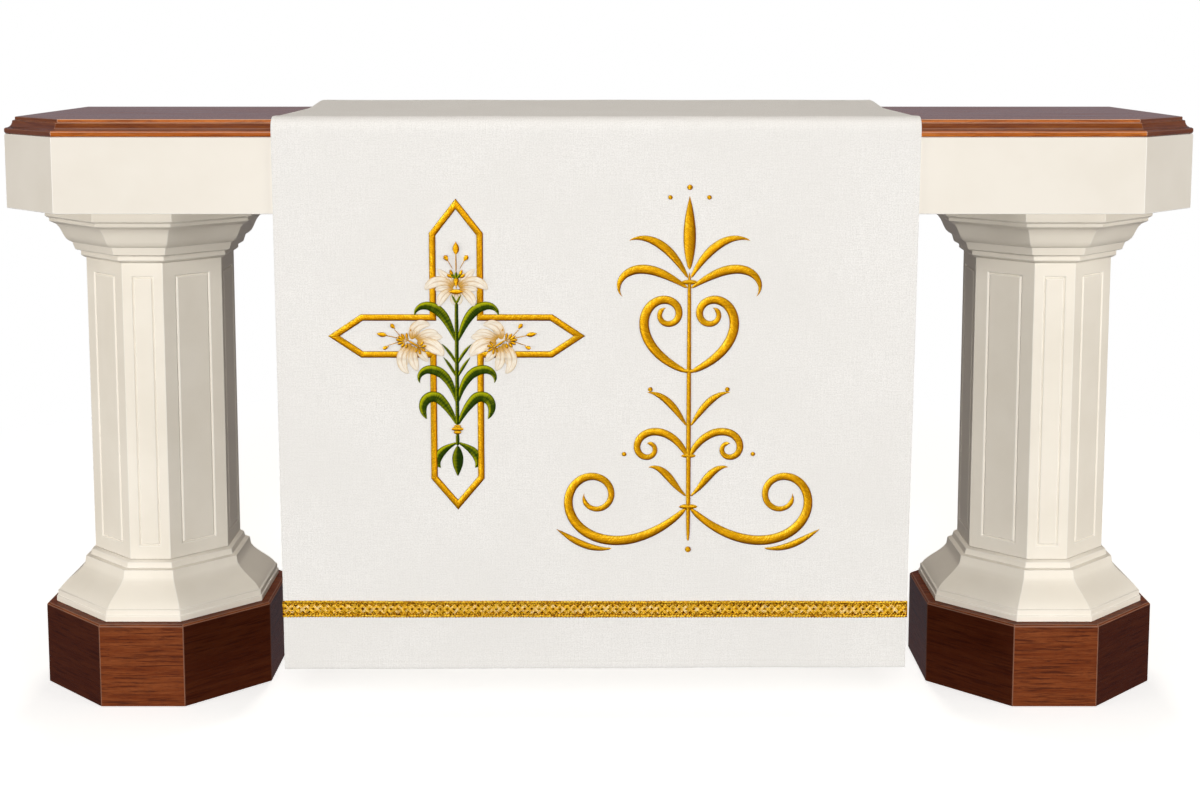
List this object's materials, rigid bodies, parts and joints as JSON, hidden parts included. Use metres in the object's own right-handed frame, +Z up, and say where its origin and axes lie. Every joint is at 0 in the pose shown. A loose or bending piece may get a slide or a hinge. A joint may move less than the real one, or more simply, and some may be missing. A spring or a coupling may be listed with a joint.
{
  "type": "church parament on altar table",
  "caption": "White linen parament with a gold lily cross, laid over a cream altar table on eight-sided pillars and hanging down its front.",
  "frame": {"origin": "on the floor, under the middle of the altar table's length and depth", "axes": "+X along the table to the viewer's right, +Y from the hanging front towards the back, +Z up"},
  "size_m": [1.956, 0.5782, 1.0023],
  "materials": {
    "white_linen": "matte plain weave",
    "gold_thread": "lustrous metallic thread",
    "stained_wood": "satin varnish on red brown stain",
    "cream_paint": "satin cream paint"
  },
  "bodies": {
    "root": {"parament": "white_linen", "gold_braid": "gold_thread", "cross_band": "gold_thread", "altar_top": "stained_wood", "altar_apron": "cream_paint", "capital_left": "cream_paint", "capital_right": "cream_paint", "pillar_left": "cream_paint", "pillar_right": "cream_paint", "base_moulding_left": "cream_paint", "base_moulding_right": "cream_paint", "plinth_left": "stained_wood", "plinth_right": "stained_wood"}
  },
  "joints": []
}
